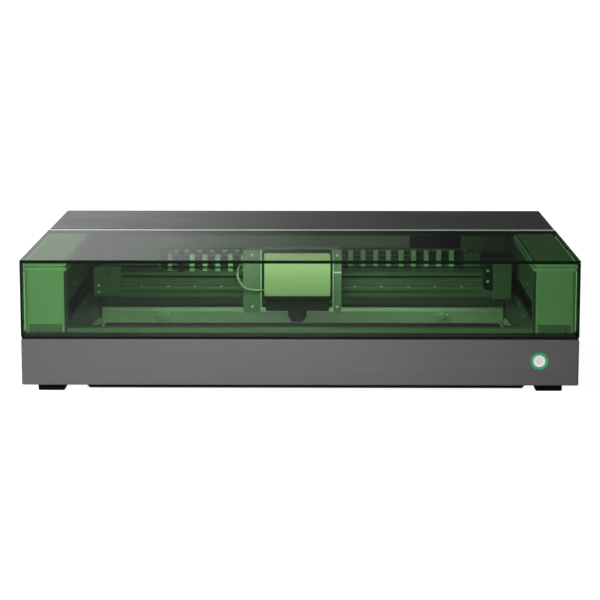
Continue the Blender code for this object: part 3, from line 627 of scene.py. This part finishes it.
def softbox(name, spot, aim, size, power):
    light = bpy.data.lights.new(name, "AREA")
    light.shape = "RECTANGLE"
    light.size, light.size_y = size
    light.energy = power
    obj = bpy.data.objects.new(name, light)
    bpy.context.scene.collection.objects.link(obj)
    obj.location = at(*spot)
    obj.rotation_euler = (at(*aim) - at(*spot)).to_track_quat("-Z", "Y").to_euler()
    obj.visible_camera = False
    obj.visible_glossy = False


# ------------------------------------------------------------- carried-over CAD


def dress_cad():
    """Gives every CAD node that stays in view its own finish."""
    looks = {
        "base_shell": PAINT,
        "bottom_tray": DARK_PAINT,
        "lid_seal": RUBBER,
        "front_sill": LINER,
        "work_bed": ANODISED,
        "chamber_wall": LINER,
        "rear_baffle": BRIGHT_SHEET,
        "rear_cover": COVER_PAINT,
        "exhaust_collar": PLASTIC,
        "fan_frame": PLASTIC,
        "fan_rotor": PLASTIC,
        "power_inlet": PLASTIC,
        "switch_bezel": PLASTIC,
        "power_rocker": PLASTIC,
        "power_supply": ALUMINIUM,
        "control_board": BOARD,
        "led_strip": LIGHT_BAR,
        "button_ring": RING,
        "power_button": WHITE,
        "lid_top": ACRYLIC,
        "lid_front": ACRYLIC,
        "lid_left": ACRYLIC,
        "lid_right": ACRYLIC,
        "lid_trim": TRIM,
        "motor_y": ANODISED,
        "shaft_y": STEEL,
        "gantry_beam": BEAM,
        "rail_x": BEAM,
        "belt_x": RUBBER,
        "motor_x": ANODISED,
        "motor_x_pulley": STEEL,
        "idler_x": STEEL,
        "chain_tray": LINER,
        "drag_chain": CHAIN,
        "head_frame": HEAD_PAINT,
        "lift_motor": ANODISED,
        "lead_screw": STEEL,
        "module_case": DARK_PAINT,
        "module_front": WHITE,
        "laser_core": DARK_PAINT,
        "module_fan": PLASTIC,
        "air_hose": CABLE,
    }
    for side in ("left", "right"):
        looks.update(
            {
                "side_housing_" + side: HOOD,
                "sensor_plate_" + side: LINER,
                "rail_y_" + side: ALUMINIUM,
                "carriage_" + side: ANODISED,
                "belt_y_" + side: RUBBER,
                "idler_y_" + side: STEEL,
                "thumb_screw_" + side: ZINC,
                "foot_front_" + side: RUBBER,
                "foot_rear_" + side: RUBBER,
            }
        )
    for name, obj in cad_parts.items():
        for slot in obj.material_slots:
            slot.material = looks[name]


# ------------------------------------------------------------------------- lid


def sheet(name, node, thin):
    """An acrylic panel whose cut edges are painted near black: painted shade for how acrylic looks dark seen
    edge-on. thin is its thin direction.
    """
    x, depth, z = limits(node)
    bm = bmesh.new()
    block(bm, x, depth, z, 0.5, 1)
    normal = {"X": 0, "Y": 1, "Z": 2}[thin]
    bmesh.ops.recalc_face_normals(bm, faces=bm.faces)
    for face in bm.faces:
        face.material_index = 0 if abs(face.normal[normal]) > 0.9 else 1
    piece(name, bm, "lid", [ACRYLIC, ACRYLIC_EDGE_SHADE], [node])


def lid():
    sheet("lid_top_sheet", "lid_top", "Z")
    sheet("lid_front_sheet", "lid_front", "Y")
    sheet("lid_left_sheet", "lid_left", "X")
    sheet("lid_right_sheet", "lid_right", "X")


# -------------------------------------------------------------- front and rear


def power_button():
    """A dished white cap inside a lit ring."""
    x, _, z = centre("power_button")
    stem, back = 3, 12
    cap = [
        (stem, back),
        (stem, 4.5),
        (8.4, 4.5),
        (8.4, 1.0),
        (8.2, 0.66),
        (7.6, 0.55),
        (6.2, 0.6),
        (3.0, 0.95),
        (0, 1.05),
    ]
    bm = bmesh.new()
    lathe(bm, "Y", (x, 0, z), cap, ROUND)
    lathe(bm, "Y", (x, 0, z), [(0, back), (stem, back)], ROUND)
    bmesh.ops.remove_doubles(bm, verts=bm.verts, dist=MERGE_DISTANCE)
    piece("power_button_cap", bm, "power_button", [WHITE], ["power_button"])
    power_mark(x, z)
    ring = [
        (12.1, 6.5),
        (12.1, 0.5),
        (11.9, 0.1),
        (11.4, 0.02),
        (10.8, 0.1),
        (10.4, 0.3),
        (9.8, 0.1),
        (9.1, 0.1),
        (8.7, 0.3),
        (8.7, 0.6),
        (9.4, 1.2),
        (9.4, 6.5),
        (12.1, 6.5),
    ]
    bm = bmesh.new()
    lathe(bm, "Y", (x, 0, z), ring, ROUND)
    bmesh.ops.remove_doubles(bm, verts=bm.verts, dist=MERGE_DISTANCE)
    piece("button_light_ring", bm, "base", [RING], ["button_ring"])


def power_mark(x, z):
    """A faint open ring and a bar on the cap, the common sign for on and off."""
    inner, outer, steps = 2.7, 3.3, 20
    start, sweep, relief = 125, 290, (0.5, 1.5)
    bm = bmesh.new()
    arc = [math.radians(start + sweep * i / steps) for i in range(steps + 1)]
    outline = [(x + outer * math.cos(t), z + outer * math.sin(t)) for t in arc]
    outline += [(x + inner * math.cos(t), z + inner * math.sin(t)) for t in reversed(arc)]
    prism(bm, "Y", relief, outline)
    block(bm, (x - 0.3, x + 0.3), relief, (z + 1.2, z + 4.0))
    piece("power_mark", bm, "power_button", [MARK])


def exhaust_collar():
    """A ribbed collar with a flange, for a hose."""
    x, _, z = centre("exhaust_collar")
    profile = [
        (42.5, 545.3),
        (42.5, 574.2),
        (43.2, 575),
        (44.9, 575),
        (45.5, 574.4),
        (45.5, 571),
        (46.1, 570.5),
        (46.1, 569),
        (45.5, 568.4),
        (45.5, 564.2),
        (49, 564),
        (50, 563.2),
        (50, 561.3),
        (45.5, 561.3),
        (45.5, 545.3),
        (42.5, 545.3),
    ]
    bm = bmesh.new()
    lathe(bm, "Y", (x, 0, z), profile, ROUND)
    bmesh.ops.remove_doubles(bm, verts=bm.verts, dist=MERGE_DISTANCE)
    piece("exhaust_hose_collar", bm, "base", [PLASTIC], ["exhaust_collar"])


def fan_impeller():
    """A hub with bowed, twisted blades."""
    x, _, z = centre("exhaust_collar")
    hub = [(0, 520.5), (15, 520.5), (17, 522), (17, 539.5), (16.4, 540.5), (0, 540.5)]
    bm = bmesh.new()
    lathe(bm, "Y", (x, 0, z), hub, 64)
    blades = 7
    for k in range(blades):
        fan_blade(bm, x, z, 2 * math.pi * k / blades)
    piece("fan_impeller", bm, "fan_rotor", [PLASTIC], ["fan_rotor"])


def fan_blade(bm, x, z, turn):
    """One blade, as two bowed skins joined round their rim. turn is its place round the hub."""
    root, tip, chord, thick = 15.5, 42.3, 20, 1.4
    root_pitch, pitch_loss, bow, sweep, middle = 52, 26, 2.4, 0.012, 530.5
    spans, chords = 8, 6
    grid = []
    for i in range(spans + 1):
        radius = root + (tip - root) * i / spans
        pitch = math.radians(root_pitch - pitch_loss * i / spans)
        row = []
        for j in range(chords + 1):
            along = (j / chords - 0.5) * chord
            rise = bow * (1 - (2 * j / chords - 1) ** 2)
            angle = turn + along * math.cos(pitch) / radius + sweep * (radius - 15)
            row.append((radius, angle, middle + along * math.sin(pitch) - rise))
        grid.append(row)
    corner = {}
    for layer in (0, thick):
        for i, row in enumerate(grid):
            for j, (radius, angle, depth) in enumerate(row):
                spot = at(x + radius * math.cos(angle), depth + layer, z + radius * math.sin(angle))
                corner[i, j, layer] = bm.verts.new(spot)
    for i in range(spans):
        for j in range(chords):
            for layer in (0, thick):
                bm.faces.new([corner[i + a, j + b, layer] for a, b in ((0, 0), (1, 0), (1, 1), (0, 1))])
    rim = [(i, 0) for i in range(spans)] + [(spans, j) for j in range(chords)]
    rim += [(i, chords) for i in range(spans, 0, -1)] + [(0, j) for j in range(chords, 0, -1)]
    for first, second in zip(rim, rim[1:] + rim[:1]):
        ends = ((first, 0), (second, 0), (second, thick), (first, thick))
        bm.faces.new([corner[(*place, layer)] for place, layer in ends])


def outlet_louvre():
    """Sloping slats in the chamber's air outlet, set so that no line of sight passes them."""
    x, _, z = centre("fan_frame")
    half, rise, run, pitch = 40.3, 13.5, 11.0, 10.0
    near, thick, slats = 476, 1.2, 7
    bm = bmesh.new()
    for k in range(slats):
        foot = z - half + 0.5 + k * pitch
        top = foot + rise
        slat = [(near, foot), (near, foot + thick), (near + run, top + thick), (near + run, top)]
        prism(bm, "X", (x - half, x + half), slat)
    piece("outlet_louvre", bm, "base", [DARK_PAINT])


def rear_screws():
    """A row of screws low on the rear cover's back, and one low on the base's."""
    cover_z, base_z, radius, proud = 94, 24, 3.0, 1.4
    bm = bmesh.new()
    back = limits("rear_cover")[1][1]
    for x in (-360, -180, 0, 120, 300, 360):
        screw(bm, "Y", (x, back, cover_z), radius, proud)
    for x in (-360, -120, 120, 360):
        screw(bm, "Y", (x, back, base_z), radius, proud)
    piece("rear_cover_screws", bm, "base", [STEEL])


# --------------------------------------------------- chamber and side housings


def housing_bands():
    """Two raised bands round the top of each side housing. The upper one goes round its crown only."""
    crown_back, gap = 309, 2
    for side in (-1, 1):
        x, depth, _ = limits("side_housing_" + side_name(side))
        bm = bmesh.new()
        for z, proud, back in (((169.5, 174.5), 0.9, depth[1] - gap), ((176, 180.4), 0.5, crown_back)):
            block(bm, (x[0] - proud, x[1] + proud), (depth[0] - proud, back), z, 0.5)
        name = "housing_bands_" + side_name(side)
        piece(name, bm, "base", [HOOD_EDGE])


def sensor_plate_screws():
    for side in (-1, 1):
        bm = bmesh.new()
        front = limits("sensor_plate_" + side_name(side))[1][0]
        for x in (331.5, 362.5):
            screw(bm, "Y", (side * x, front, 86.5), 2.6, 1.0, way=-1)
        piece("sensor_plate_screws_" + side_name(side), bm, "base", [STEEL])


def chamber_details():
    """Screws on the housings' inner faces, and a gusset and a clip at each rear corner of the floor."""
    screw_places = ((96.7, 138.4), (144.6, 130.9), (143.9, 83.9), (221, 89), (300, 87), (400, 131))
    gusset = [(300, 42), (425, 20.6), (458, 20.6), (458, 23), (410, 35)]
    for side in (-1, 1):
        name = side_name(side)
        wall = side * limits("side_housing_right")[0][0]
        bm = bmesh.new()
        for depth, z in screw_places:
            screw(bm, "X", (wall, depth, z), 2.6, 1.0, way=-side)
        piece("chamber_screws_" + name, bm, "base", [ZINC])
        bm = bmesh.new()
        prism(bm, "X", mirrored((316.9, 317.5), side), gusset)
        block(bm, mirrored((310.5, 314.5), side), (408, 458), (20.3, 21.6), 0.4, 1)
        piece("floor_gusset_" + name, bm, "base", [BRIGHT_SHEET])


def housing_liners():
    """Dark panels on the housings' inner faces, open along the gantry's slot."""
    front, back = 6.4, 474.8
    slot_front, slot_back = 23.4, 470.6
    for side in (-1, 1):
        x = mirrored((319.2, 320.2), side)
        bm = bmesh.new()
        for depth, z in (
            ((front, back), (124.2, 175.4)),
            ((front, back), (79.8, 95.9)),
            ((front, slot_front), (95.8, 124.3)),
            ((slot_back, back), (95.8, 124.3)),
        ):
            block(bm, x, depth, z)
        piece("housing_liner_" + side_name(side), bm, "base", [HOOD_LINER])


def lid_rim():
    """A black border inside the lid's lower edge, and a black line of painted shade down each front corner,
    like the sheets' dark edges.
    """
    bm = bmesh.new()
    low, high, top, back = 78.8, 84.4, 181.2, 326.5
    block(bm, (-378.6, 378.6), (3.3, 4.6), (low, high), 0.3)
    for side in (-1, 1):
        block(bm, mirrored((378.1, 379.3), side), (4.0, back), (low, high), 0.3)
        # Painted shade: the black line down the front corner stands for the dark joint of the sheets
        block(bm, mirrored((377.9, 379.3), side), (3.3, 4.8), (low, top), 0.2, 1)
    piece("lid_black_border", bm, "lid", [BORDER])


def thumb_screws():
    """Winged thumb screws with knurled heads."""
    shank, tip, knurl, ridges, ridge = 2, 470, 6.6, 20, 0.35
    for side in (-1, 1):
        node = "thumb_screw_" + side_name(side)
        x, _, z = centre(node)
        bm = bmesh.new()
        profile = [
            (shank, tip),
            (shank, 459.6),
            (6.1, 459.6),
            (knurl, 459.0),
            (knurl, 455.0),
            (6.1, 454.4),
            (3.6, 454.3),
            (3.2, 453.1),
            (0, 453.0),
        ]
        lathe(bm, "Y", (x, 0, z), profile, SMALL_ROUND)
        lathe(bm, "Y", (x, 0, z), [(0, tip), (shank, tip)], SMALL_ROUND)
        bmesh.ops.remove_doubles(bm, verts=bm.verts, dist=MERGE_DISTANCE)
        for wing in (-1, 1):
            span = tuple(sorted((x + wing * 5.6, x + wing * 10.2)))
            block(bm, span, (454.8, 458.6), (z - 2.4, z + 2.4), 1.2, 3)
        for i in range(ridges):
            t = 2 * math.pi * i / ridges
            a, b = x + knurl * math.cos(t), z + knurl * math.sin(t)
            block(bm, (a - ridge, a + ridge), (455.2, 458.8), (b - ridge, b + ridge), 0.12, 1)
        piece("winged_" + node, bm, node, [ZINC], [node])


def light_bar():
    """The lamp's frosted strip in a sheet-metal tray."""
    wall, drop = 0.8, 1.2
    x, depth, z = limits("led_strip")
    bm = bmesh.new()
    outline = [
        (depth[0], z[1]),
        (depth[0], z[0] + drop),
        (depth[0] + wall, z[0] + drop),
        (depth[0] + wall, z[1] - wall),
        (depth[1] - wall, z[1] - wall),
        (depth[1] - wall, z[0] + drop),
        (depth[1], z[0] + drop),
        (depth[1], z[1]),
    ]
    prism(bm, "X", x, outline, 1)
    block(bm, (x[0] + 1, x[1] - 1), (depth[0] + 1, depth[1] - 1), (z[0], z[1] - 1), 1.0, 3, 0)
    piece("lamp_strip", bm, "base", [LIGHT_BAR, LINER], ["led_strip"])


# ---------------------------------------------------------------------- gantry


# The drag chain: a link's pitch, the depths of its two runs, where the bend starts, where its two ends
# are along X, and its foot and top
PITCH = 19.2
CHAIN_FRONT, CHAIN_REAR = 303.0, 353.0
BEND_X = -185.0
MOVING_END, FIXED_END = -78.0, 245.7
CHAIN_Z = (124.6, 152.6)


def chain_link(bm, origin, along):
    """One link: plates above and below, and an upright bar on each side. along is its direction."""
    across = Vector((-along.y, along.x, 0))
    half = PITCH / 2

    def part(u, v, w, rounding, material=0):
        verts_before = len(bm.verts)
        block(bm, u, v, w, rounding, 2, material)
        bm.verts.ensure_lookup_table()
        for vert in bm.verts[verts_before:]:
            local = vert.co - at(0, 0, 0)
            vert.co = origin + along * local.x + across * local.y + Vector((0, 0, local.z))

    low, high = CHAIN_Z
    outer, inner = (-half + 0.5, half + 2.5), (-half - 1.5, half - 3)
    part(outer, (-7.0, 7.0), (low, low + 2.2), 0.6)
    part(outer, (-7.0, 7.0), (high - 2.2, high), 0.6)
    part(inner, (-7.4, 7.4), (low + 2.3, low + 4.2), 0.6)
    part(inner, (-7.4, 7.4), (high - 4.2, high - 2.3), 0.6)
    for face in (-1, 1):
        span = tuple(sorted((face * 7.0, face * 9.0)))
        part((-4.4, 4.4), span, (low + 0.3, high - 0.3), 0.9, 1)


def chain():
    """Links along the front run, round the bend and along the rear run, each rigid in itself.

    A link's weight is its share of the head's travel: 1 at the moving end, a half round the
    bend and 0 at the fixed end.
    """
    radius = (CHAIN_REAR - CHAIN_FRONT) / 2
    middle = (CHAIN_FRONT + CHAIN_REAR) / 2
    places = []
    count = round((MOVING_END - BEND_X) / PITCH - 0.3)
    for i in range(count):
        x = MOVING_END - PITCH * (i + 0.5)
        places.append((x, CHAIN_FRONT, math.pi, 1 - 0.5 * (MOVING_END - x) / (MOVING_END - BEND_X)))
    turns = 4
    for i in range(turns):
        t = math.pi * (i + 0.5) / turns
        x, depth = BEND_X - radius * math.sin(t), middle - radius * math.cos(t)
        places.append((x, depth, math.pi - t, 0.5))
    count = int((FIXED_END - BEND_X) / PITCH)
    for i in range(count):
        x = BEND_X + PITCH * (i + 0.5)
        places.append((x, CHAIN_REAR, 0.0, 0.5 * (FIXED_END - x) / (FIXED_END - BEND_X)))
    first = None
    for i, (x, depth, angle, weight) in enumerate(places):
        bm = bmesh.new()
        direction = Vector((math.cos(angle), math.sin(angle), 0))
        chain_link(bm, at(x, depth, 0), direction)
        link = piece(f"chain_link_{i:02d}", bm, None, [CHAIN, CHAIN_BAR], ride=False)
        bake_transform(link)
        first = first or link
    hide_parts("drag_chain")
    chain_core(radius, middle)


def chain_core(radius, middle):
    """The cables inside, in three stretches that meet at the bend."""
    thick, steps = 2.9, 12
    for k, (z, offset) in enumerate(((131, -2.5), (138.6, 2.0), (146, -1.5))):
        front = [(MOVING_END + 1, CHAIN_FRONT + offset), (BEND_X, CHAIN_FRONT + offset)]
        rear = [(BEND_X, CHAIN_REAR - offset), (FIXED_END, CHAIN_REAR - offset)]
        turn = []
        for i in range(steps + 1):
            t = math.pi * i / steps
            r = radius - offset
            turn.append((BEND_X - r * math.sin(t), middle - r * math.cos(t)))
        for label, route, start, end in (
            ("front", front, 2 * BEND_X - MOVING_END, MOVING_END),
            ("bend", turn, None, None),
            ("rear", rear, FIXED_END, 2 * BEND_X - FIXED_END),
        ):
            dense = []
            for (xa, da), (xb, db) in zip(route, route[1:]):
                for j in range(1 if label == "bend" else steps):
                    f = j / steps
                    dense.append((xa + (xb - xa) * f, da + (db - da) * f, z))
            dense.append((*route[-1], z))
            obj = cable(f"chain_cable_{label}_{k}", dense, thick)
            if label == "bend":
                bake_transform(obj)
            else:
                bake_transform(obj)


def cable(name, route, radius):
    """A round cable along flat points, with closed ends and no parent."""
    sides = 12
    bm = bmesh.new()
    rings = []
    for i, place in enumerate(route):
        before, after = route[max(0, i - 1)], route[min(len(route) - 1, i + 1)]
        along = (at(*after) - at(*before)).normalized()
        across = Vector((-along.y, along.x, 0))
        ring = []
        for j in range(sides):
            t = 2 * math.pi * j / sides
            out = across * math.cos(t) + Vector((0, 0, math.sin(t)))
            ring.append(bm.verts.new(at(*place) + out * radius / 1000))
        rings.append(ring)
    for first, second in zip(rings, rings[1:]):
        for j in range(sides):
            bm.faces.new((first[j], first[(j + 1) % sides], second[(j + 1) % sides], second[j]))
    bm.faces.new(rings[0])
    bm.faces.new(list(reversed(rings[-1])))
    return piece(name, bm, None, [CABLE], ride=False)


def gantry_details():
    """The motor's cover plate and the screws on the beam's ends, rail and tray."""
    bm = bmesh.new()
    block(bm, (283, 311), (243.2, 247.4), (92, 146.5), 1.4, 3)
    piece("motor_cover", bm, "gantry", [MOTOR_COVER])
    bm = bmesh.new()
    for z in (118, 134):
        screw(bm, "Y", (276, 248, z), 2.2, 1.1, way=-1)
    rail_face = limits("rail_x")[1][0] + 1.3
    for x in range(-280, 281, 40):
        screw(bm, "Y", (x, rail_face, 104), 1.9, 0.5, way=-1)
    for z in (96, 106):
        for x in (-304, 304):
            screw(bm, "Y", (x, 282, z), 1.9, 1.0, way=-1)
    for x in (250, 266):
        screw(bm, "Z", (x, 353, 149), 2.2, 1.0)
    piece("gantry_screws", bm, "gantry", [ZINC])


# ------------------------------------------------------------------ laser head


def head_details():
    """Bright folded lips on the cheeks, and their screws."""
    depth, z = (244.8, 249), (71, 165)
    bm = bmesh.new()
    block(bm, (-60.2, -58.7), depth, z, 0.4)
    block(bm, (46.2, 47.6), depth, z, 0.4)
    block(bm, (46.4, 59.3), (244.9, 246.4), (130.5, 132.5), 0.3)
    piece("cheek_lips", bm, "head", [BRIGHT_SHEET])
    bm = bmesh.new()
    for x in (-72.5, 53):
        for z in (157, 80):
            screw(bm, "Y", (x, 246, z), 2.0, 0.9, way=-1)
    piece("cheek_screws", bm, "head", [ZINC])


def module_front():
    """The module's front panel, with soft corners and a raised middle, over a dark skirt."""
    x, depth, z = limits("module_front")
    bm = bmesh.new()
    block(bm, x, (depth[0] + 1, depth[1] + 0.2), (z[0] - 1, z[0] + 4.2), 0.6, 2)
    piece("module_skirt", bm, "module", [DARK_PAINT])
    z = (z[0] + 4, z[1])
    bm = bmesh.new()
    front = rounded_outline(x, z, 2.5)
    prism(bm, "Y", (depth[0] + 0.9, depth[1]), front)
    inner = rounded_outline((x[0] + 0.9, x[1] - 0.9), (z[0] + 0.9, z[1] - 0.9), 2.0)
    prism(bm, "Y", (depth[0], depth[0] + 1.2), inner)
    piece("module_front_panel", bm, "module", [PANEL], ["module_front"])


def air_hose():
    """A short hose round the left cheek of the head, which carries both its ends."""
    route = [
        (-90, 291.5, 138),
        (-92, 277, 137),
        (-94, 262, 132),
        (-94, 249, 124),
        (-90, 242, 116),
        (-83, 240.5, 109),
        (-74, 241, 106),
        (-66, 242.5, 105.2),
        (-56.4, 244.5, 105),
    ]
    tube("air_hose_tube", route, 1.6, "head", HOSE)
    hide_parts("air_hose")


def main():
    studio()
    dress_cad()
    lid()
    power_button()
    exhaust_collar()
    fan_impeller()
    outlet_louvre()
    rear_screws()
    housing_bands()
    sensor_plate_screws()
    housing_liners()
    lid_rim()
    chamber_details()
    thumb_screws()
    light_bar()
    chain()
    gantry_details()
    head_details()
    module_front()
    air_hose()


main()
